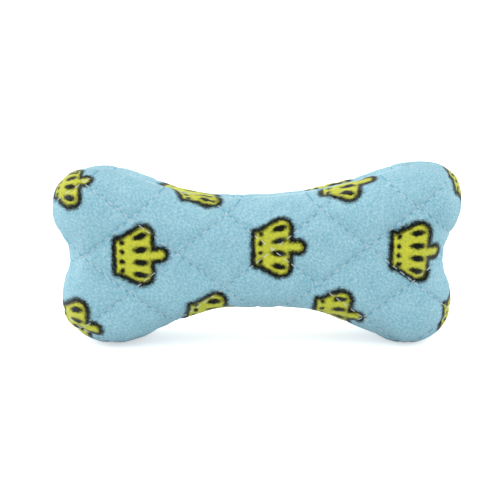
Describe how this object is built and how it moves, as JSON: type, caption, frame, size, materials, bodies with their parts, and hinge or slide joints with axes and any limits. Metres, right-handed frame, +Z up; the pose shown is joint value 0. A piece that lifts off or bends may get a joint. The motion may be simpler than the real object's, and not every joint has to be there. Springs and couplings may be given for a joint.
{
  "type": "bone-shaped dog toy",
  "caption": "Plump bone-shaped dog toy of diamond-quilted pale blue fleece with yellow crown print, stuffed with fibre round a squeaker, standing on its two lower lobes.",
  "frame": {"origin": "on the ground, under the middle of the standing toy", "axes": "+X along the bone, +Y from the front panel to the back panel, +Z up"},
  "size_m": [0.1798, 0.045, 0.0814],
  "materials": {
    "fleece": "brushed polyester fleece with a short nap, printed",
    "wadding": "bonded polyester wadding",
    "backing_cloth": "thin non-woven cloth",
    "quilting_thread": "clear nylon monofilament",
    "seam_thread": "spun polyester thread",
    "filling": "loose polyester fibre",
    "squeaker_bulb": "blown soft plastic, slightly waxy",
    "reed_plug": "moulded plastic",
    "reed": "thin stiff film"
  },
  "bodies": {
    "bone": {"front_fleece": "fleece", "back_fleece": "fleece", "front_wadding": "wadding", "back_wadding": "wadding", "front_backing_cloth": "backing_cloth", "back_backing_cloth": "backing_cloth", "front_quilting_thread": "quilting_thread", "back_quilting_thread": "quilting_thread", "seam_thread": "seam_thread", "closing_thread": "seam_thread", "fibre_filling": "filling", "squeaker_bulb": "squeaker_bulb", "squeaker_reed_seat": "reed_plug", "squeaker_reed_clamp": "reed_plug"},
    "reed": {"squeaker_reed": "reed"}
  },
  "joints": [
    {"name": "reed_flex", "type": "hinge", "parent": "bone", "child": "reed", "pos_m": [0.0202, 0, 0.0405], "axis": [0, 1, 0], "range_deg": [-3, 6], "stiffness_Nm_per_rad": 0.00003}
  ]
}
